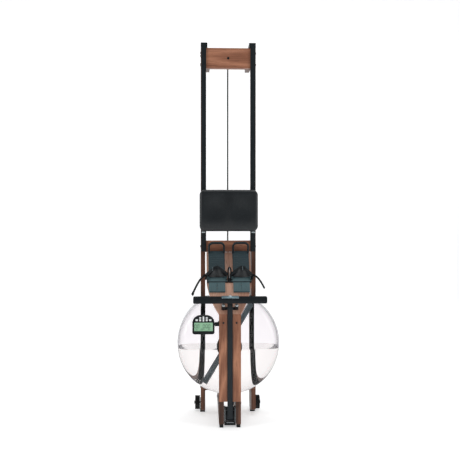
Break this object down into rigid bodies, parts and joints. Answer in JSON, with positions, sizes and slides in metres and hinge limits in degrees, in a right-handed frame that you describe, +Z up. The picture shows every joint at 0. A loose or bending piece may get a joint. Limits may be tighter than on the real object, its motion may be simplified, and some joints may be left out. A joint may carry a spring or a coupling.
{
  "type": "water rowing machine",
  "caption": "Rowing machine with wooden rails, a clear water tank with a paddle, a sliding seat, foot rests and a strap-driven handle, standing upright on its front end.",
  "frame": {"origin": "middle of the whole box, on the floor under the upright machine", "axes": "+Z is up while the machine stands in store, toward its rear end. -Y is the side with deck, handle and seat, which faces up when it is rowed. +X is the right side seen from that side."},
  "size_m": [0.568, 0.479, 2.085],
  "materials": {
    "rail_wood": "oiled dark walnut",
    "deck_wood": "oiled reddish walnut",
    "board_wood": "oiled pale pinkish wood",
    "black_plastic": "fine moulded texture",
    "rubber": "matt",
    "webbing": "flat woven",
    "slate_plastic": "moulded, ridged",
    "grey_plastic": "moulded, satin",
    "steel": "brushed",
    "clear_tank": "clear polycarbonate",
    "water": "clear",
    "seal": "matt",
    "seat_vinyl": "satin moulded skin",
    "display": "backlit liquid crystal display",
    "white_keys": "satin"
  },
  "bodies": {
    "frame": {"left_rail": "rail_wood", "right_rail": "rail_wood", "left_rear_leg": "rail_wood", "right_rear_leg": "rail_wood", "front_crossbar": "rail_wood", "left_front_upright": "rail_wood", "right_front_upright": "rail_wood", "rear_spacer_block": "deck_wood", "heel_crossbar": "deck_wood", "top_deck": "deck_wood", "footboard": "board_wood", "left_seat_track": "black_plastic", "right_seat_track": "black_plastic", "roller_bracket": "black_plastic", "bearing_housing": "black_plastic", "cord_guide": "black_plastic", "handle_rest": "black_plastic", "left_wheel_bracket": "black_plastic", "right_wheel_bracket": "black_plastic", "monitor_arm": "black_plastic", "left_upright_foot": "rubber", "right_upright_foot": "rubber", "drive_strap": "webbing", "strap_return_run": "webbing", "recoil_cord": "webbing", "left_foot_strap": "webbing", "right_foot_strap": "webbing", "left_toe_plate": "grey_plastic", "right_toe_plate": "grey_plastic", "tank_front_shell": "clear_tank", "tank_rear_shell": "clear_tank", "tank_water": "water", "tank_seal_ring": "seal"},
    "paddle": {"paddle": "steel", "paddle_shaft": "steel"},
    "strap_drum": {"strap_drum": "black_plastic"},
    "front_roller": {"front_roller": "black_plastic"},
    "handle": {"handle_bar": "rubber", "handle_clip": "steel"},
    "seat": {"seat_pad": "seat_vinyl", "seat_carriage": "black_plastic"},
    "left_transport_wheel": {"left_transport_wheel": "rubber"},
    "right_transport_wheel": {"right_transport_wheel": "rubber"},
    "left_heel_plate": {"left_heel_plate": "slate_plastic"},
    "right_heel_plate": {"right_heel_plate": "slate_plastic"},
    "monitor": {"monitor_housing": "black_plastic", "monitor_screen": "display"},
    "fill_plug": {"fill_plug": "black_plastic"},
    "left_front_seat_roller": {"left_front_seat_roller": "rubber"},
    "left_rear_seat_roller": {"left_rear_seat_roller": "rubber"},
    "right_front_seat_roller": {"right_front_seat_roller": "rubber"},
    "right_rear_seat_roller": {"right_rear_seat_roller": "rubber"},
    "centre_key": {"centre_key": "white_keys"},
    "upper_left_key": {"upper_left_key": "white_keys"},
    "upper_right_key": {"upper_right_key": "white_keys"},
    "lower_left_key": {"lower_left_key": "white_keys"},
    "lower_right_key": {"lower_right_key": "white_keys"},
    "outer_left_key": {"outer_left_key": "white_keys"},
    "outer_right_key": {"outer_right_key": "white_keys"}
  },
  "joints": [
    {"name": "handle_slide", "type": "slide", "parent": "frame", "child": "handle", "axis": [0, 0, 1], "range_m": [0, 1.3], "deforming": ["drive_strap"]},
    {"name": "drum_spin", "type": "hinge", "parent": "frame", "child": "strap_drum", "pos_m": [0, -0.1155, 0.414], "axis": [0, 1, 0], "range_deg": [0, 1600]},
    {"name": "front_roller_spin", "type": "hinge", "parent": "frame", "child": "front_roller", "pos_m": [0, -0.1615, 0.06], "axis": [1, 0, 0], "range_deg": [-2800, 0]},
    {"name": "paddle_spin", "type": "hinge", "parent": "frame", "child": "paddle", "pos_m": [0, 0.0595, 0.414], "axis": [0, 1, 0], "continuous": true},
    {"name": "seat_slide", "type": "slide", "parent": "frame", "child": "seat", "axis": [0, 0, 1], "range_m": [0, 0.8]},
    {"name": "left_front_seat_roller_spin", "type": "hinge", "parent": "seat", "child": "left_front_seat_roller", "pos_m": [-0.1372, 0.0242, 1.068], "axis": [1, 0, 0], "range_deg": [-2700, 0]},
    {"name": "left_rear_seat_roller_spin", "type": "hinge", "parent": "seat", "child": "left_rear_seat_roller", "pos_m": [-0.1372, 0.0242, 1.226], "axis": [1, 0, 0], "range_deg": [-2700, 0]},
    {"name": "right_front_seat_roller_spin", "type": "hinge", "parent": "seat", "child": "right_front_seat_roller", "pos_m": [0.1372, 0.0242, 1.068], "axis": [1, 0, 0], "range_deg": [-2700, 0]},
    {"name": "right_rear_seat_roller_spin", "type": "hinge", "parent": "seat", "child": "right_rear_seat_roller", "pos_m": [0.1372, 0.0242, 1.226], "axis": [1, 0, 0], "range_deg": [-2700, 0]},
    {"name": "left_wheel_spin", "type": "hinge", "parent": "frame", "child": "left_transport_wheel", "pos_m": [-0.17, 0.1895, 0.046], "axis": [1, 0, 0], "continuous": true},
    {"name": "left_heel_adjust", "type": "slide", "parent": "frame", "child": "left_heel_plate", "axis": [0, -0.5752, -0.818], "range_m": [0, 0.045]},
    {"name": "right_wheel_spin", "type": "hinge", "parent": "frame", "child": "right_transport_wheel", "pos_m": [0.17, 0.1895, 0.046], "axis": [1, 0, 0], "continuous": true},
    {"name": "right_heel_adjust", "type": "slide", "parent": "frame", "child": "right_heel_plate", "axis": [0, -0.5752, -0.818], "range_m": [0, 0.045]},
    {"name": "monitor_tilt", "type": "hinge", "parent": "frame", "child": "monitor", "pos_m": [-0.082, -0.2235, 0.55], "axis": [1, 0, 0], "range_deg": [-25, 25]},
    {"name": "centre_key_press", "type": "slide", "parent": "monitor", "child": "centre_key", "axis": [0, 1, 0], "range_m": [0, 0.0015], "stiffness_N_per_m": 250, "springref_m": -0.001},
    {"name": "upper_left_key_press", "type": "slide", "parent": "monitor", "child": "upper_left_key", "axis": [0, 1, 0], "range_m": [0, 0.0015], "stiffness_N_per_m": 250, "springref_m": -0.001},
    {"name": "upper_right_key_press", "type": "slide", "parent": "monitor", "child": "upper_right_key", "axis": [0, 1, 0], "range_m": [0, 0.0015], "stiffness_N_per_m": 250, "springref_m": -0.001},
    {"name": "lower_left_key_press", "type": "slide", "parent": "monitor", "child": "lower_left_key", "axis": [0, 1, 0], "range_m": [0, 0.0015], "stiffness_N_per_m": 250, "springref_m": -0.001},
    {"name": "lower_right_key_press", "type": "slide", "parent": "monitor", "child": "lower_right_key", "axis": [0, 1, 0], "range_m": [0, 0.0015], "stiffness_N_per_m": 250, "springref_m": -0.001},
    {"name": "outer_left_key_press", "type": "slide", "parent": "monitor", "child": "outer_left_key", "axis": [0, 1, 0], "range_m": [0, 0.0015], "stiffness_N_per_m": 250, "springref_m": -0.001},
    {"name": "outer_right_key_press", "type": "slide", "parent": "monitor", "child": "outer_right_key", "axis": [0, 1, 0], "range_m": [0, 0.0015], "stiffness_N_per_m": 250, "springref_m": -0.001},
    {"name": "plug_pull", "type": "slide", "parent": "frame", "child": "fill_plug", "axis": [0, -1, 0], "range_m": [0, 0.05]}
  ],
  "couplings": [
    {"joint": "drum_spin", "follows": "handle_slide", "rad_per_m": 21.436},
    {"joint": "front_roller_spin", "follows": "handle_slide", "rad_per_m": -37.523},
    {"joint": "left_front_seat_roller_spin", "follows": "seat_slide", "rad_per_m": -58.824},
    {"joint": "left_rear_seat_roller_spin", "follows": "seat_slide", "rad_per_m": -58.824},
    {"joint": "right_front_seat_roller_spin", "follows": "seat_slide", "rad_per_m": -58.824},
    {"joint": "right_rear_seat_roller_spin", "follows": "seat_slide", "rad_per_m": -58.824}
  ]
}
